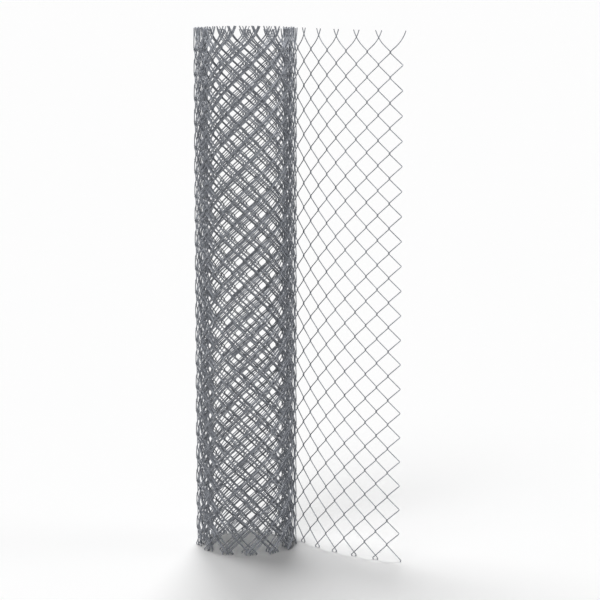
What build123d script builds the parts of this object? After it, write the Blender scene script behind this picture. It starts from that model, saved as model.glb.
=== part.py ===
"""Roll of galvanised chain link fencing, stood on end with its loose end led off to one side.

The mesh is woven from equal zigzag wires, each hooked into the next along its whole height. The wound part
is one turned solid with its bore, and a spiral slot in each end shows the turns. The loose end is woven wire
by wire, with every bend hooked round its neighbour's. Millimetres and degrees, +Z up, origin on the roll's
axis at the floor. Seen from above, the mesh winds outwards clockwise and the loose end leads to +X and -Y.
"""

import math
import os

from build123d import *

# Woven mesh
mesh_opening = 50.0  # side of a diamond, between wire centres
wire_diameter = 2.8
wire_sides = 5  # flats that stand for the round wire
wire_clearance = 0.3  # between two wires hooked together
weave_gap = 0.3  # clear space between the front and the back legs of the weave
bends_per_wire = 41  # odd, so that a wire's two ends lean to the same side

# Upper edge: cut ends that flare upwards in pairs
barb_run = 24.0  # straight start of an upper end
barb_step = 17.5  # length of each further stretch
barb_turn = 8.7  # how much steeper each further stretch stands
barb_steps = 3

# Lower edge: ends that cross in pairs and curl in above the floor
crossing_height = 12.5
knuckle_step = 2.6  # length of each stretch of a curl
knuckle_turn = 40.0  # how far each stretch turns from the one before
knuckle_steps = 3
floor_clearance = 0.4  # under the curled ends

# Wound part
bore_radius = 108.0
turns = 7
turn_nest = 0.4  # how far the bends of one turn sink between those of the next
slot_width = 2.0
slot_depth = 12.0

# Loose end
fanned_wires = 12  # clear of the roll, besides the first one, which lies against it
seat_angle = 33.4  # where that first wire lies, about the axis from +X
seat_gap = 0.3  # between the first wire and the roll
lead_angle = 64.0  # heading of the mesh as it leaves the roll, from +X towards -Y
fan_step = 4.02  # how far each wire turns away from the one before

# Worked out from the above
half_pitch = mesh_opening / math.sqrt(2)  # between hinge lines, and between the bends of a wire
wire_radius = wire_diameter / 2
mesh_thickness = 2 * wire_diameter + weave_gap
leg_depth = (wire_diameter + weave_gap) / 2  # a leg's centre, in front of or behind the mid-plane
hook_reach = (wire_diameter + wire_clearance) / 2  # how far a bend passes its hinge line
bend_offset = half_pitch / 2 + hook_reach
slope = half_pitch / (2 * bend_offset + 2 * leg_depth)  # the same along the legs and round the bends
leg_angle = math.degrees(math.atan(slope))
bend_rise = slope * leg_depth  # gained from a bend's start to its middle
turn_pitch = mesh_thickness - turn_nest
roll_radius = bore_radius + turns * turn_pitch


def stretch(length, angle):
    """A straight stretch of wire across the mesh, rising at angle to the right."""
    rise = math.radians(angle)
    return Vector(length * math.cos(rise), 0, length * math.sin(rise))


def curled_foot(first_bend):
    """Points of a wire's lower end, from its curled tip up to the start of its first bend."""
    curl = [stretch(knuckle_step, -leg_angle - step * knuckle_turn) for step in range(1, knuckle_steps + 1)]
    drop = first_bend.Z - wire_radius - floor_clearance + sum(part.Z for part in curl)
    points = [first_bend, first_bend + stretch(drop / math.sin(math.radians(leg_angle)), -leg_angle)]
    for part in curl:
        points.append(points[-1] + part)
    return points[::-1]


def flared_top(last_bend):
    """Points of a wire's upper end, beyond the end of its last bend."""
    points = [last_bend + stretch(barb_run, leg_angle)]
    for step in range(1, barb_steps + 1):
        points.append(points[-1] + stretch(barb_step, leg_angle + step * barb_turn))
    return points


def wire_path():
    """Centreline of one wire: X across the mesh, Y through it with the front at -Y, Z up."""
    bends = []
    for level in range(1, bends_per_wire + 1):
        at_left = level % 2 == 1
        across = -bend_offset if at_left else bend_offset
        depth = leg_depth if at_left else -leg_depth
        height = crossing_height + level * half_pitch
        bends.append(Vector(across, depth, height - bend_rise))
        bends.append(Vector(across, -depth, height + bend_rise))
    return Polyline(*curled_foot(bends[0]), *bends[1:], *flared_top(bends[-1]))


def zigzag_wire():
    """One wire of the weave, with its mid-plane on XZ and its foot just above the floor."""
    path = wire_path()
    section = Plane(path @ 0, z_dir=path % 0) * RegularPolygon(wire_radius, wire_sides)
    return sweep(section, path, transition=Transition.RIGHT)


def turn_slot():
    """Outline of the gap between the turns, in flats as long as a wire of the mesh is wide."""
    inner, outer = [], []
    radius = bore_radius + turn_pitch
    angle = seat_angle + 180
    while radius <= roll_radius - turn_pitch / 2:
        inner.append(Vector(radius - slot_width / 2, 0).rotate(Axis.Z, angle))
        outer.append(Vector(radius + slot_width / 2, 0).rotate(Axis.Z, angle))
        flat = 2 * math.degrees(math.asin(half_pitch / 2 / radius))
        angle -= flat
        radius += turn_pitch * flat / 360
    return make_face(Polyline(*inner, *reversed(outer), close=True))


def wound_roll(height):
    """The wound part: a turned ring with a spiral slot in each end."""
    wall = Pos((bore_radius + roll_radius) / 2, height / 2) * Rectangle(roll_radius - bore_radius, height)
    ring = revolve(Plane.XZ * wall, Axis.Z)
    slot = extrude(turn_slot(), slot_depth)
    return ring - slot - Pos(0, 0, height - slot_depth) * slot


def loose_wire_places():
    """Middle and heading of each wire of the loose end, from the roll to the free edge."""
    seat_radius = roll_radius + seat_gap + mesh_thickness / 2
    middle = Vector(seat_radius, 0).rotate(Axis.Z, seat_angle)
    headings = [90 - seat_angle] + [lead_angle - index * fan_step for index in range(fanned_wires)]
    places = []
    hinge = None
    for heading in headings:
        half_width = Vector(half_pitch / 2, 0).rotate(Axis.Z, -heading)
        if hinge is not None:
            middle = hinge + half_width
        hinge = middle + half_width
        places.append((middle, heading))
    return places


def loose_end():
    """The loose end: equal wires hooked side by side, every other one turned half round."""
    wire = zigzag_wire()
    wires = []
    for index, (middle, heading) in enumerate(loose_wire_places()):
        half_turn = 180 * (index % 2)
        wires.append(Pos(middle) * Rot(0, 0, half_turn - heading) * wire)
    return wires


loose_wires = loose_end()
fence_height = loose_wires[0].bounding_box().max.Z

os.makedirs("parts", exist_ok=True)
export_step(wound_roll(fence_height), "parts/wound_roll.step")
export_step(Compound(children=loose_wires), "parts/loose_end.step")
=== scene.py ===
"""Weaves a roll of galvanised chain link fencing, wire by wire, round its solids and on a pale floor."""

import math

import bpy
from bpy.props import FloatProperty, FloatVectorProperty, IntProperty, PointerProperty
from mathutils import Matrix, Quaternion, Vector


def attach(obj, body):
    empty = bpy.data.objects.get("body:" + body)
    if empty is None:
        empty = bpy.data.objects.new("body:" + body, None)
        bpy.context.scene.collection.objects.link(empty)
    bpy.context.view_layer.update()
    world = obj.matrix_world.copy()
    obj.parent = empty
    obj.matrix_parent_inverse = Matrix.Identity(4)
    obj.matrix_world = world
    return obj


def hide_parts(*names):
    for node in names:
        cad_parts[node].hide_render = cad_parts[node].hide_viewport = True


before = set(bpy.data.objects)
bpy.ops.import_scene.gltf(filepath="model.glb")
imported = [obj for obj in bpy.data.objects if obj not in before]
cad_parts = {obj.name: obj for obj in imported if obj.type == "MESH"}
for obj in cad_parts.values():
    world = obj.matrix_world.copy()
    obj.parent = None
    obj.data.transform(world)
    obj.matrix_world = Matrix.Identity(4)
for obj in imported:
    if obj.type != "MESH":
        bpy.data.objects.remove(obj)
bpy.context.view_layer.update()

bl_info = {
    "name": "Chain Link Fencing Roll",
    "version": (1, 0, 0),
    "blender": (4, 5, 0),
    "location": "3D View > Sidebar > Fencing",
    "description": "Weaves a roll of chain link fencing from hooked zigzag wires, its loose end led off",
    "category": "Object",
}

MASTER_WIRE = "zigzag_wire"
LOOSE_END = "loose_end_mesh"
TURN = "wound_turn"
WIRE_FINISH = "hot_dip_galvanised_steel_wire"

AXES = {"X": Vector((1, 0, 0)), "Y": Vector((0, 1, 0)), "Z": Vector((0, 0, 1))}
JOIN_DISTANCE = 2e-5  # metres; the rings of two stretches that lie closer are made one
SMOOTH_ANGLE = math.radians(50)  # the flats round a wire blend, and the rim of a cut end stays sharp
LEAN_STEPS = 2  # stretches in which a lower end leans over
CHORD_ROUNDS = 3  # enough for a chord of the spiral to come out as wide as a wire of the mesh

NOISE_RANGE = (0.3, 0.7)  # where nearly all of a noise texture's values lie
MIX_FACTOR, MIX_A, MIX_B, MIX_RESULT = 0, 6, 7, 2  # a Mix node's colour sockets, whose names it repeats
LAMPS = ("back", "near_left", "left", "front", "right")
WHITE = (1.0, 1.0, 1.0, 1.0)
SENSOR_WIDTH = 36.0  # millimetres, for the lens below
VIEW_REACH = 500.0  # metres, past the far edge of the floor


def linear(code):
    """The linear colour of an sRGB hex code."""
    parts = [int(code[i:i + 2], 16) / 255 for i in (1, 3, 5)]
    return [c / 12.92 if c <= 0.04045 else ((c + 0.055) / 1.055) ** 2.4 for c in parts] + [1.0]


class FenceWeave(bpy.types.PropertyGroup):
    """Sizes of one zigzag wire and of the mesh that it is woven into."""

    mesh_opening: FloatProperty(
        name="Mesh opening", description="Side of a diamond, between wire centres",
        default=0.050, unit="LENGTH", precision=4)
    wire_diameter: FloatProperty(
        name="Wire diameter", description="Over the zinc coat", default=0.0028, unit="LENGTH", precision=4)
    wire_sides: IntProperty(
        name="Wire sides", description="Flats round the wire, smoothed over", default=8, min=4)
    hook_clearance: FloatProperty(
        name="Hook clearance", description="Between two wires where they hook together",
        default=0.00005, unit="LENGTH", precision=5)
    bend_steps: IntProperty(
        name="Bend steps", description="Stretches round each bend", default=5, min=2)
    diamonds: IntProperty(
        name="Diamonds", description="Whole zigzags up one wire", default=20, min=1)
    crossing_height: FloatProperty(
        name="Lowest crossing", description="Height at which the lower ends cross",
        default=0.0125, unit="LENGTH", precision=4)
    floor_clearance: FloatProperty(
        name="Floor clearance", description="Under the curled lower ends",
        default=0.0001, unit="LENGTH", precision=4)
    foot_lean: FloatProperty(
        name="Foot lean", description="How much steeper a lower end stands than the legs above it",
        default=math.radians(2.5), subtype="ANGLE")
    knuckle_length: FloatProperty(
        name="Knuckle length", description="Curled part of a lower end",
        default=0.0060, unit="LENGTH", precision=4)
    knuckle_turn: FloatProperty(
        name="Knuckle turn", description="How far a lower end curls in",
        default=math.radians(150), subtype="ANGLE")
    barb_run: FloatProperty(
        name="Barb run", description="Straight start of an upper end",
        default=0.0218, unit="LENGTH", precision=4)
    barb_length: FloatProperty(
        name="Barb length", description="Curved part of an upper end",
        default=0.0540, unit="LENGTH", precision=4)
    barb_turn: FloatProperty(
        name="Barb turn", description="How much steeper an upper end grows",
        default=math.radians(30.7), subtype="ANGLE")
    end_steps: IntProperty(
        name="End steps", description="Stretches along the curve of a cut end", default=8, min=2)


class FenceRoll(bpy.types.PropertyGroup):
    """How the mesh is wound, and how its loose end leads off."""

    leave_radius: FloatProperty(
        name="Leaving radius", description="Radius of the hinge line where the mesh leaves the roll",
        default=0.15027, unit="LENGTH", precision=5)
    leave_angle: FloatProperty(
        name="Leaving angle", description="Where that hinge line stands, about the axis from +X",
        default=math.radians(26.65), subtype="ANGLE")
    turn_pitch: FloatProperty(
        name="Turn pitch", description="From one turn to the next",
        default=0.005475, unit="LENGTH", precision=5)
    wound_wires: IntProperty(
        name="Wound wires", description="Wires from the leaving line inwards", default=162, min=1)
    fanned_wires: IntProperty(
        name="Fanned wires", description="Wires of the loose end that are clear of the roll",
        default=12, min=1)
    seated_wires: IntProperty(
        name="Seated wires", description="Wound wires that belong to the loose end and lie on the roll",
        default=1, min=0)
    lead_angle: FloatProperty(
        name="Lead angle", description="Heading of the mesh as it leaves, from +X towards -Y",
        default=math.radians(63.74), subtype="ANGLE")
    fan_step: FloatProperty(
        name="Fan step", description="How far each wire turns away from the one before",
        default=math.radians(3.982), subtype="ANGLE")


class FenceFinish(bpy.types.PropertyGroup):
    """Colours, grain sizes and sheen of the zinc coat."""

    zinc_dull: FloatVectorProperty(
        name="Dull zinc", description="Darker grains of the coat",
        default=linear("#707379"), size=4, subtype="COLOR")
    zinc_bright: FloatVectorProperty(
        name="Bright zinc", description="Lighter grains of the coat",
        default=linear("#a0a3a9"), size=4, subtype="COLOR")
    zinc_rubbed: FloatVectorProperty(
        name="Rubbed zinc", description="Where the hooks rub",
        default=linear("#aeb1b4"), size=4, subtype="COLOR")
    spangle_size: FloatProperty(
        name="Spangle size", description="Width of a zinc grain",
        default=0.006, unit="LENGTH", precision=4)
    bloom_size: FloatProperty(
        name="Bloom size", description="Width of the coat's pale and dark patches",
        default=0.045, unit="LENGTH", precision=4)
    spangle_share: FloatProperty(
        name="Spangle share", description="How much of the mottle is grains, the rest being bloom",
        default=0.45, min=0.0, max=1.0, subtype="FACTOR")
    dull_roughness: FloatProperty(
        name="Dull roughness", description="Roughness of the darker grains",
        default=0.58, min=0.0, max=1.0, subtype="FACTOR")
    bright_roughness: FloatProperty(
        name="Bright roughness", description="Roughness of the lighter grains",
        default=0.40, min=0.0, max=1.0, subtype="FACTOR")
    grit_size: FloatProperty(
        name="Grit size", description="Width of the coat's fine lumps",
        default=0.0009, unit="LENGTH", precision=5)
    grit_height: FloatProperty(
        name="Grit height", description="Height of the coat's fine lumps",
        default=0.00012, unit="LENGTH", precision=5)
    grit_strength: FloatProperty(
        name="Grit strength", description="How strongly the lumps break up the sheen",
        default=0.35, min=0.0, max=1.0, subtype="FACTOR")
    rub_core: FloatProperty(
        name="Rub core", description="How far from a hook the rubbing keeps its full strength",
        default=0.0007, unit="LENGTH", precision=4)
    rub_reach: FloatProperty(
        name="Rub reach", description="How far from a hook the rubbing ends",
        default=0.0032, unit="LENGTH", precision=4)
    rub_strength: FloatProperty(
        name="Rub strength", description="How much of the coat is rubbed at a hook",
        default=0.8, min=0.0, max=1.0, subtype="FACTOR")


class FenceStage(bpy.types.PropertyGroup):
    """Camera, floor and light; each lamp has its share of the floor's light and its angles."""

    camera_place: FloatVectorProperty(
        name="Camera place", description="Where the camera stands",
        default=(0.1571, -6.36484, 1.7610), subtype="TRANSLATION", unit="LENGTH", precision=4)
    camera_tilt: FloatProperty(
        name="Camera tilt", description="How far the camera looks down",
        default=math.radians(9.186), subtype="ANGLE")
    camera_roll: FloatProperty(
        name="Camera roll", description="How far the camera leans to its left",
        default=math.radians(0.06), subtype="ANGLE")
    lens: FloatProperty(
        name="Lens", description="Focal length in millimetres", default=132.2, unit="CAMERA")
    floor_size: FloatProperty(
        name="Floor size", description="Width of the floor", default=240.0, unit="LENGTH")
    floor_colour: FloatVectorProperty(
        name="Floor colour", description="Pale seamless floor",
        default=linear("#fcfcfc"), size=4, subtype="COLOR")
    sky_share: FloatProperty(
        name="Sky", description="Share of the floor's light that comes from all round",
        default=0.005, min=0.0, max=1.0, subtype="FACTOR")
    back_share: FloatProperty(
        name="Back light", description="Share of the floor's light from straight behind",
        default=0.405, min=0.0, max=1.0, subtype="FACTOR")
    back_angles: FloatVectorProperty(
        name="Back light angles", description="Left of straight behind, height, spread",
        default=[math.radians(a) for a in (2, 60, 16)], unit="ROTATION")
    near_left_share: FloatProperty(
        name="Near left light", description="Share of the floor's light from behind, a little to the left",
        default=0.155, min=0.0, max=1.0, subtype="FACTOR")
    near_left_angles: FloatVectorProperty(
        name="Near left light angles", description="Left of straight behind, height, spread",
        default=[math.radians(a) for a in (22, 62, 24)], unit="ROTATION")
    left_share: FloatProperty(
        name="Left light", description="Share of the floor's light from the left, behind",
        default=0.21, min=0.0, max=1.0, subtype="FACTOR")
    left_angles: FloatVectorProperty(
        name="Left light angles", description="Left of straight behind, height, spread",
        default=[math.radians(a) for a in (46, 55, 24)], unit="ROTATION")
    front_share: FloatProperty(
        name="Front light", description="Share of the floor's light from the left, in front",
        default=0.2, min=0.0, max=1.0, subtype="FACTOR")
    front_angles: FloatVectorProperty(
        name="Front light angles", description="Left of straight behind, height, spread",
        default=[math.radians(a) for a in (152, 53, 30)], unit="ROTATION")
    right_share: FloatProperty(
        name="Right light", description="Share of the floor's light from the right",
        default=0.035, min=0.0, max=1.0, subtype="FACTOR")
    right_angles: FloatVectorProperty(
        name="Right light angles", description="Left of straight behind, height, spread",
        default=[math.radians(a) for a in (270, 45, 24)], unit="ROTATION")


def add_node(tree, kind, inputs=None, **settings):
    """Adds one node with its settings; inputs, by name or number, are values or other nodes' outputs."""
    node = tree.nodes.new(kind)
    for name, value in settings.items():
        setattr(node, name, value)
    for socket, value in (inputs or {}).items():
        if isinstance(value, bpy.types.NodeSocket):
            tree.links.new(value, node.inputs[socket])
        else:
            node.inputs[socket].default_value = value
    return node


def select_only(*pieces):
    """Selects these pieces and makes the first one active."""
    bpy.ops.object.select_all(action="DESELECT")
    for piece in pieces:
        piece.select_set(True)
    bpy.context.view_layer.objects.active = pieces[0]


class DrawnWire:
    """A wire that is being drawn out: its open end is a ring of edges, selected in edit mode."""

    def __init__(self, name, place, heading, weave):
        bpy.ops.object.select_all(action="DESELECT")
        bpy.ops.mesh.primitive_circle_add(
            vertices=weave.wire_sides, radius=weave.wire_diameter / 2, fill_type="NOTHING",
            location=place, rotation=heading.to_track_quat("Z", "Y").to_euler())
        self.piece = bpy.context.active_object
        self.piece.name = name
        bpy.ops.object.transform_apply(location=True, rotation=True, scale=True)
        bpy.ops.object.mode_set(mode="EDIT")
        bpy.ops.mesh.select_all(action="SELECT")
        self.place = Vector(place)
        self.heading = heading.normalized()

    def run(self, length):
        """Draws the wire straight on."""
        step = self.heading * length
        bpy.ops.mesh.extrude_region_move(TRANSFORM_OT_translate={"value": step})
        self.place += step

    def bend(self, angle, axis, length, steps):
        """Draws the wire on round an arc."""
        half_step = Quaternion(AXES[axis], angle / steps / 2)
        for _ in range(steps):
            self.heading.rotate(half_step)
            self.run(length / steps)
            # With no window this turns the other way, hence the minus
            bpy.ops.transform.rotate(
                value=-angle / steps, orient_axis=axis, orient_type="GLOBAL", center_override=self.place)
            self.heading.rotate(half_step)

    def end(self, cut):
        """Leaves the wire, with a flat cut at its end or open for the next stretch."""
        if cut:
            bpy.ops.mesh.edge_face_add()
        bpy.ops.object.mode_set(mode="OBJECT")
        return self.piece


def half_pitch(weave):
    """Between hinge lines, and between the bends of a wire: half of a diamond's width or height."""
    return weave.mesh_opening / math.sqrt(2)


class WireShape:
    """The flattened coil that one wire follows: mid-plane on XZ, bends centred on its two hinge lines."""

    def __init__(self, weave):
        self.lowest = weave.crossing_height
        self.pitch = half_pitch(weave)
        self.depth = (weave.wire_diameter + weave.hook_clearance) / 2
        chord = 2 * self.depth * math.sin(math.pi / weave.bend_steps / 2)
        round_bend = weave.bend_steps * chord
        self.slope = math.atan2(self.pitch, self.pitch + round_bend)
        self.leg = self.pitch / math.cos(self.slope)
        self.bend = round_bend / math.cos(self.slope)
        self.bend_rise = self.bend * math.sin(self.slope)

    def bend_start(self, level):
        """Where the bend at the left edge starts, at the back, counted from the lowest crossing."""
        height = self.lowest + level * self.pitch - self.bend_rise / 2
        return Vector((-self.pitch / 2, self.depth, height))

    def bend_end(self, level):
        """Where that bend ends, at the front."""
        return self.bend_start(level) + Vector((0, -2 * self.depth, self.bend_rise))

    def heading(self, across, up):
        """Direction along a leg."""
        return Vector((across * math.cos(self.slope), 0, up * math.sin(self.slope)))


def zigzags(weave, shape):
    """One zigzag, two legs and their bends, stacked up the whole wire."""
    zigzag = DrawnWire(MASTER_WIRE, shape.bend_end(1), shape.heading(1, 1), weave)
    for _ in range(2):
        zigzag.run(shape.leg)
        zigzag.bend(math.pi, "Z", shape.bend, weave.bend_steps)
    wire = zigzag.end(cut=False)
    select_only(wire)
    bpy.ops.object.modifier_add(type="ARRAY")
    stack = wire.modifiers[-1]
    stack.count = weave.diamonds
    stack.use_relative_offset = False
    stack.use_constant_offset = True
    stack.constant_offset_displace = (0, 0, 2 * shape.pitch)
    stack.use_merge_vertices = True
    stack.merge_threshold = JOIN_DISTANCE
    bpy.ops.object.modifier_apply(modifier=stack.name)
    return wire


def lowest_bend(weave, shape):
    """The bend under the zigzags."""
    hook = DrawnWire("lowest_bend", shape.bend_start(1), shape.heading(-1, 1), weave)
    hook.bend(math.pi, "Z", shape.bend, weave.bend_steps)
    return hook.end(cut=False)


def knuckle_drop(weave, slope):
    """How far a lower end falls as it curls in from this slope."""
    turn = weave.knuckle_turn / weave.end_steps
    step = weave.knuckle_length / weave.end_steps
    return sum(step * math.sin(slope + (i + 0.5) * turn) for i in range(weave.end_steps))


def curled_foot(weave, shape):
    """The lower end: it leans steeper than a leg and curls in just above the floor."""
    foot = DrawnWire("foot", shape.bend_start(1), shape.heading(1, -1), weave)
    foot.bend(weave.foot_lean, "Y", weave.knuckle_length, LEAN_STEPS)
    slope = shape.slope + weave.foot_lean
    drop = foot.place.z - weave.wire_diameter / 2 - weave.floor_clearance - knuckle_drop(weave, slope)
    foot.run(drop / math.sin(slope))
    foot.bend(weave.knuckle_turn, "Y", weave.knuckle_length, weave.end_steps)
    return foot.end(cut=True)


def flared_top(weave, shape):
    """The upper end: it runs on along the leg, then flares upwards."""
    last = 2 * weave.diamonds + 1
    top = DrawnWire("top", shape.bend_end(last), shape.heading(1, 1), weave)
    top.run(weave.barb_run)
    top.bend(-weave.barb_turn, "Y", weave.barb_length, weave.end_steps)
    return top.end(cut=True)


def weave_wire(weave):
    """Models one zigzag wire with its curled foot and flared top."""
    shape = WireShape(weave)
    wire = zigzags(weave, shape)
    select_only(wire, lowest_bend(weave, shape), curled_foot(weave, shape), flared_top(weave, shape))
    bpy.ops.object.join()
    bpy.ops.object.mode_set(mode="EDIT")
    bpy.ops.mesh.select_all(action="SELECT")
    bpy.ops.mesh.remove_doubles(threshold=JOIN_DISTANCE)
    bpy.ops.mesh.normals_make_consistent(inside=False)
    bpy.ops.mesh.select_all(action="DESELECT")
    bpy.ops.mesh.select_non_manifold()
    open_corners = wire.data.total_vert_sel
    bpy.ops.object.mode_set(mode="OBJECT")
    if open_corners:
        raise RuntimeError(f"The zigzag wire is open at {open_corners} corners: its stretches don't meet")
    bpy.ops.object.shade_smooth_by_angle(angle=SMOOTH_ANGLE)


def master_wire():
    """The one modelled wire, which has to be there before it can be copied."""
    wire = bpy.data.objects.get(MASTER_WIRE)
    if wire is None:
        raise RuntimeError("There is no zigzag wire to copy: weave one first")
    return wire


def around(radius, angle):
    """The plan vector of this length and heading."""
    return Vector((radius * math.cos(angle), radius * math.sin(angle)))


def hinge_lines(weave, roll):
    """Plan points of the hinge lines, from the loose end's free edge to the inner end of the spiral."""
    width = half_pitch(weave)
    radius, angle = roll.leave_radius, roll.leave_angle
    loose = [around(radius, angle)]
    for index in range(roll.fanned_wires):
        loose.append(loose[-1] + around(width, index * roll.fan_step - roll.lead_angle))
    wound = []
    for _ in range(roll.wound_wires):
        turned = 2 * math.asin(width / 2 / radius)
        for _ in range(CHORD_ROUNDS):
            inner = radius - roll.turn_pitch * turned / math.tau
            chord = math.sqrt(radius ** 2 + inner ** 2 - 2 * radius * inner * math.cos(turned))
            turned *= width / chord
        radius, angle = inner, angle + turned
        wound.append(around(radius, angle))
    return loose[::-1] + wound


def turns(lines, first):
    """First and last hinge line of each turn of the spiral, from the outside in."""
    turned = 0.0
    inner_end = len(lines) - 1
    for last in range(first + 1, inner_end + 1):
        turned += lines[last - 1].angle(lines[last])
        if turned >= math.tau or last == inner_end:
            yield first, last
            first, turned = last, 0.0


def hook_up(lines, first, last, name):
    """Copies the wire between these hinge lines, every other copy turned half round, as one piece."""
    master = master_wire()
    copies = []
    for index in range(first, last):
        outer, inner = lines[index], lines[index + 1]
        along = outer - inner
        middle = (outer + inner) / 2
        select_only(master)
        bpy.ops.object.duplicate(linked=False)
        copy = bpy.context.active_object
        copy.location = (middle.x, middle.y, 0)
        copy.rotation_euler = (0, 0, math.atan2(along.y, along.x) + math.pi * (index % 2))
        copies.append(copy)
    select_only(*copies)
    bpy.ops.object.join()
    piece = bpy.context.active_object
    piece.name = name
    piece.data.name = name
    bpy.ops.object.transform_apply(location=True, rotation=True, scale=True)
    return piece


def galvanised_steel_wire(finish, weave):
    """Hot-dip galvanised steel wire: drawn round, then coated in a bath of molten zinc."""
    material = bpy.data.materials.get(WIRE_FINISH)
    if material:
        return material
    material = bpy.data.materials.new(WIRE_FINISH)
    material.use_nodes = True
    tree = material.node_tree
    tree.nodes.clear()
    place = add_node(tree, "ShaderNodeTexCoord").outputs["Object"]

    # The zinc sets in grains of several greys and weathers to a patchy bloom: a dull, mottled grey.
    # Real grains are about a millimetre wide, too fine to show, so they are drawn some six times coarser
    grains = add_node(tree, "ShaderNodeTexVoronoi", {"Vector": place, "Scale": 1 / finish.spangle_size})
    grain = add_node(tree, "ShaderNodeSeparateColor", {"Color": grains.outputs["Color"]})
    patches = add_node(tree, "ShaderNodeTexNoise", {
        "Vector": place, "Scale": 1 / finish.bloom_size, "Detail": 4.0, "Roughness": 0.6})
    bloom = add_node(tree, "ShaderNodeMapRange", {
        "Value": patches.outputs["Fac"], "From Min": NOISE_RANGE[0], "From Max": NOISE_RANGE[1],
        "To Max": 1 - finish.spangle_share})
    tone = add_node(tree, "ShaderNodeMath", {
        0: grain.outputs["Red"], 1: finish.spangle_share, 2: bloom.outputs[0]}, operation="MULTIPLY_ADD")
    zinc = add_node(tree, "ShaderNodeMix", {
        MIX_FACTOR: tone.outputs[0], MIX_A: finish.zinc_dull, MIX_B: finish.zinc_bright}, data_type="RGBA")

    # Fine lumps in the coat keep its sheen satin. Real ones are finer still and wouldn't show
    grit = add_node(tree, "ShaderNodeTexNoise", {
        "Vector": place, "Scale": 1 / finish.grit_size, "Detail": 3.0})
    lumps = add_node(tree, "ShaderNodeBump", {
        "Strength": finish.grit_strength, "Distance": finish.grit_height, "Height": grit.outputs["Fac"]})
    sheen = add_node(tree, "ShaderNodeMapRange", {
        "Value": tone.outputs[0], "To Min": finish.dull_roughness, "To Max": finish.bright_roughness})

    # Hooked wires rub each other paler. Their hooks lie half a pitch apart in height, up from the lowest
    # crossing, so the height says how near the next hook is
    height = add_node(tree, "ShaderNodeSeparateXYZ", {"Vector": place}).outputs["Z"]
    above = add_node(tree, "ShaderNodeMath", {0: height, 1: weave.crossing_height}, operation="SUBTRACT")
    from_hook = add_node(
        tree, "ShaderNodeMath", {0: above.outputs[0], 1: half_pitch(weave) / 2}, operation="PINGPONG")
    near = add_node(tree, "ShaderNodeMapRange", {
        "Value": from_hook.outputs[0], "From Min": finish.rub_core, "From Max": finish.rub_reach,
        "To Min": finish.rub_strength, "To Max": 0.0}, interpolation_type="SMOOTHSTEP")
    rubbed = add_node(
        tree, "ShaderNodeMath", {0: near.outputs[0], 1: grit.outputs["Fac"]}, operation="MULTIPLY")
    colour = add_node(tree, "ShaderNodeMix", {
        MIX_FACTOR: rubbed.outputs[0], MIX_A: zinc.outputs[MIX_RESULT], MIX_B: finish.zinc_rubbed},
        data_type="RGBA")

    shader = add_node(tree, "ShaderNodeBsdfPrincipled", {
        "Base Color": colour.outputs[MIX_RESULT], "Metallic": 1.0,
        "Roughness": sheen.outputs[0], "Normal": lumps.outputs[0]})
    add_node(tree, "ShaderNodeOutputMaterial", {"Surface": shader.outputs[0]})
    return material


def dress(piece, material, node):
    """Gives a piece its finish, hangs it on the root body and hides the solid that it stands for."""
    piece.data.materials.clear()
    piece.data.materials.append(material)
    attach(piece, "root")
    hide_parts(node)


def matt_white_paper(stage):
    """Unglazed studio paper, rolled out."""
    # It has no gloss, so the floor shows the shadow and nothing else, and melts into the white behind
    material = bpy.data.materials.new("matt_white_paper_floor")
    material.use_nodes = True
    tree = material.node_tree
    tree.nodes.clear()
    matt = add_node(tree, "ShaderNodeBsdfDiffuse", {"Color": stage.floor_colour})
    add_node(tree, "ShaderNodeOutputMaterial", {"Surface": matt.outputs[0]})
    return material


def lay_floor(stage):
    """Lays the pale floor under the roll."""
    bpy.ops.object.select_all(action="DESELECT")
    bpy.ops.mesh.primitive_plane_add(size=stage.floor_size)
    floor = bpy.context.active_object
    floor.name = "floor"
    floor.data.materials.append(matt_white_paper(stage))


def surround_with_white(scene, stage):
    """A white that is seen, straight or in the metal, but gives the floor only a little light."""
    world = bpy.data.worlds.new("white_studio")
    scene.world = world
    world.use_nodes = True
    tree = world.node_tree
    tree.nodes.clear()
    path = add_node(tree, "ShaderNodeLightPath").outputs
    seen = add_node(
        tree, "ShaderNodeMath", {0: path["Is Camera Ray"], 1: path["Is Glossy Ray"]}, operation="MAXIMUM")
    shown = add_node(
        tree, "ShaderNodeMath", {0: seen.outputs[0], 1: path["Is Transmission Ray"]}, operation="MAXIMUM")
    # A ray that has left the floor no longer sees the white, so the wires don't pass it on to the floor
    straight = add_node(tree, "ShaderNodeMath", {0: path["Diffuse Depth"], 1: 0.5}, operation="LESS_THAN")
    white = add_node(
        tree, "ShaderNodeMath", {0: shown.outputs[0], 1: straight.outputs[0]}, operation="MULTIPLY")
    level = add_node(tree, "ShaderNodeMapRange", {
        "Value": white.outputs[0], "To Min": stage.sky_share, "To Max": 1.0})
    sky = add_node(tree, "ShaderNodeBackground", {"Color": WHITE, "Strength": level.outputs[0]})
    add_node(tree, "ShaderNodeOutputWorld", {"Surface": sky.outputs[0]})


def hang_lamp(stage, name):
    """Hangs one soft lamp, as strong as its share of the floor's light needs at its height."""
    side, height, spread = getattr(stage, f"{name}_angles")
    bpy.ops.object.light_add(type="SUN")
    lamp = bpy.context.active_object
    lamp.name = f"{name}_light"
    lamp.data.energy = getattr(stage, f"{name}_share") * math.pi / math.sin(height)
    lamp.data.angle = spread
    lamp.rotation_euler = (height - math.pi / 2, 0, side)


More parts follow.
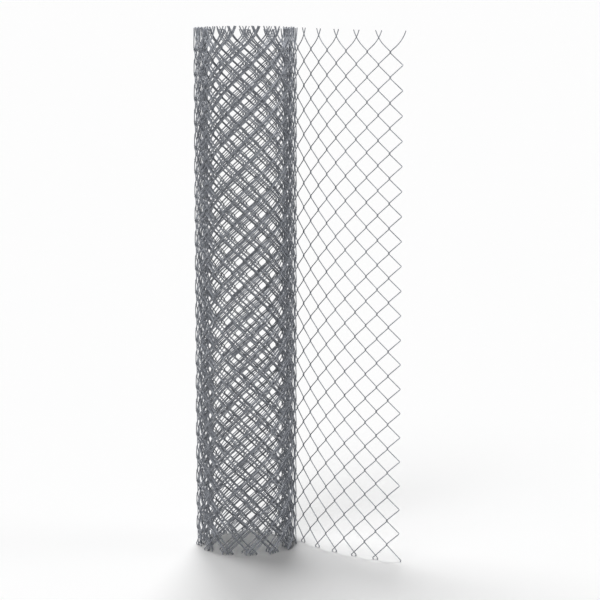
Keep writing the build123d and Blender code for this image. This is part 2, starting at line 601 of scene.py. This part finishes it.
def stand_camera(scene, stage):
    """Stands the camera in front of the roll, a little above its top."""
    look_down = Quaternion(AXES["X"], math.pi / 2 - stage.camera_tilt)
    aim = look_down @ Quaternion(AXES["Z"], stage.camera_roll)
    bpy.ops.object.camera_add(location=stage.camera_place, rotation=aim.to_euler())
    camera = bpy.context.active_object
    camera.name = "photo_camera"
    camera.data.lens = stage.lens
    camera.data.sensor_width = SENSOR_WIDTH
    camera.data.clip_end = VIEW_REACH
    scene.camera = camera


class FENCE_OT_weave_wire(bpy.types.Operator):
    """Model the one zigzag wire that the whole mesh is woven from"""

    bl_idname = "fence.weave_wire"
    bl_label = "Weave One Wire"

    def execute(self, context):
        weave_wire(context.scene.fence_weave)
        return {"FINISHED"}


class FENCE_OT_wind_roll(bpy.types.Operator):
    """Hook copies of the wire together along a spiral, one piece for each turn"""

    bl_idname = "fence.wind_roll"
    bl_label = "Wind the Roll"

    def execute(self, context):
        scene = context.scene
        weave, roll = scene.fence_weave, scene.fence_roll
        lines = hinge_lines(weave, roll)
        finish = galvanised_steel_wire(scene.fence_finish, weave)
        outer_end = roll.fanned_wires + roll.seated_wires
        for number, (first, last) in enumerate(turns(lines, outer_end), start=1):
            dress(hook_up(lines, first, last, f"{TURN}_{number}"), finish, "wound_roll")
        return {"FINISHED"}


class FENCE_OT_lead_loose_end(bpy.types.Operator):
    """Hook copies of the wire together along the curve of the loose end"""

    bl_idname = "fence.lead_loose_end"
    bl_label = "Lead Off the Loose End"

    def execute(self, context):
        scene = context.scene
        weave, roll = scene.fence_weave, scene.fence_roll
        lines = hinge_lines(weave, roll)
        finish = galvanised_steel_wire(scene.fence_finish, weave)
        dress(hook_up(lines, 0, roll.fanned_wires + roll.seated_wires, LOOSE_END), finish, "loose_end")
        # These are the last copies, and the wire that they came from is no piece of the fence
        bpy.data.objects.remove(master_wire())
        return {"FINISHED"}


class FENCE_OT_set_stage(bpy.types.Operator):
    """Add the pale floor, the soft light and the camera"""

    bl_idname = "fence.set_stage"
    bl_label = "Set the Stage"

    def execute(self, context):
        scene = context.scene
        stage = scene.fence_stage
        lay_floor(stage)
        surround_with_white(scene, stage)
        for name in LAMPS:
            hang_lamp(stage, name)
        stand_camera(scene, stage)
        scene.view_settings.view_transform = "Standard"
        return {"FINISHED"}


class FENCE_PT_panel(bpy.types.Panel):
    """Lists the steps and the sizes that a user would change"""

    bl_idname = "FENCE_PT_panel"
    bl_label = "Chain Link Fencing"
    bl_space_type = "VIEW_3D"
    bl_region_type = "UI"
    bl_category = "Fencing"

    def draw(self, context):
        layout = self.layout
        for operator in OPERATORS:
            layout.operator(operator.bl_idname)
        for name, group in GROUPS.items():
            box = layout.box()
            for prop in group.__annotations__:
                box.prop(getattr(context.scene, name), prop)


OPERATORS = (FENCE_OT_weave_wire, FENCE_OT_wind_roll, FENCE_OT_lead_loose_end, FENCE_OT_set_stage)
GROUPS = {
    "fence_weave": FenceWeave,
    "fence_roll": FenceRoll,
    "fence_finish": FenceFinish,
    "fence_stage": FenceStage,
}


def register():
    """Makes the settings, the steps and the panel known to Blender."""
    for name, group in GROUPS.items():
        bpy.utils.register_class(group)
        setattr(bpy.types.Scene, name, PointerProperty(type=group))
    for cls in (*OPERATORS, FENCE_PT_panel):
        bpy.utils.register_class(cls)


def unregister():
    """Takes them out again, last first."""
    for cls in (FENCE_PT_panel, *reversed(OPERATORS)):
        bpy.utils.unregister_class(cls)
    for name, group in reversed(GROUPS.items()):
        delattr(bpy.types.Scene, name)
        bpy.utils.unregister_class(group)


def main():
    """Builds the roll and its stage."""
    register()
    bpy.ops.fence.weave_wire()
    bpy.ops.fence.wind_roll()
    bpy.ops.fence.lead_loose_end()
    bpy.ops.fence.set_stage()


if __name__ == "__main__":
    main()
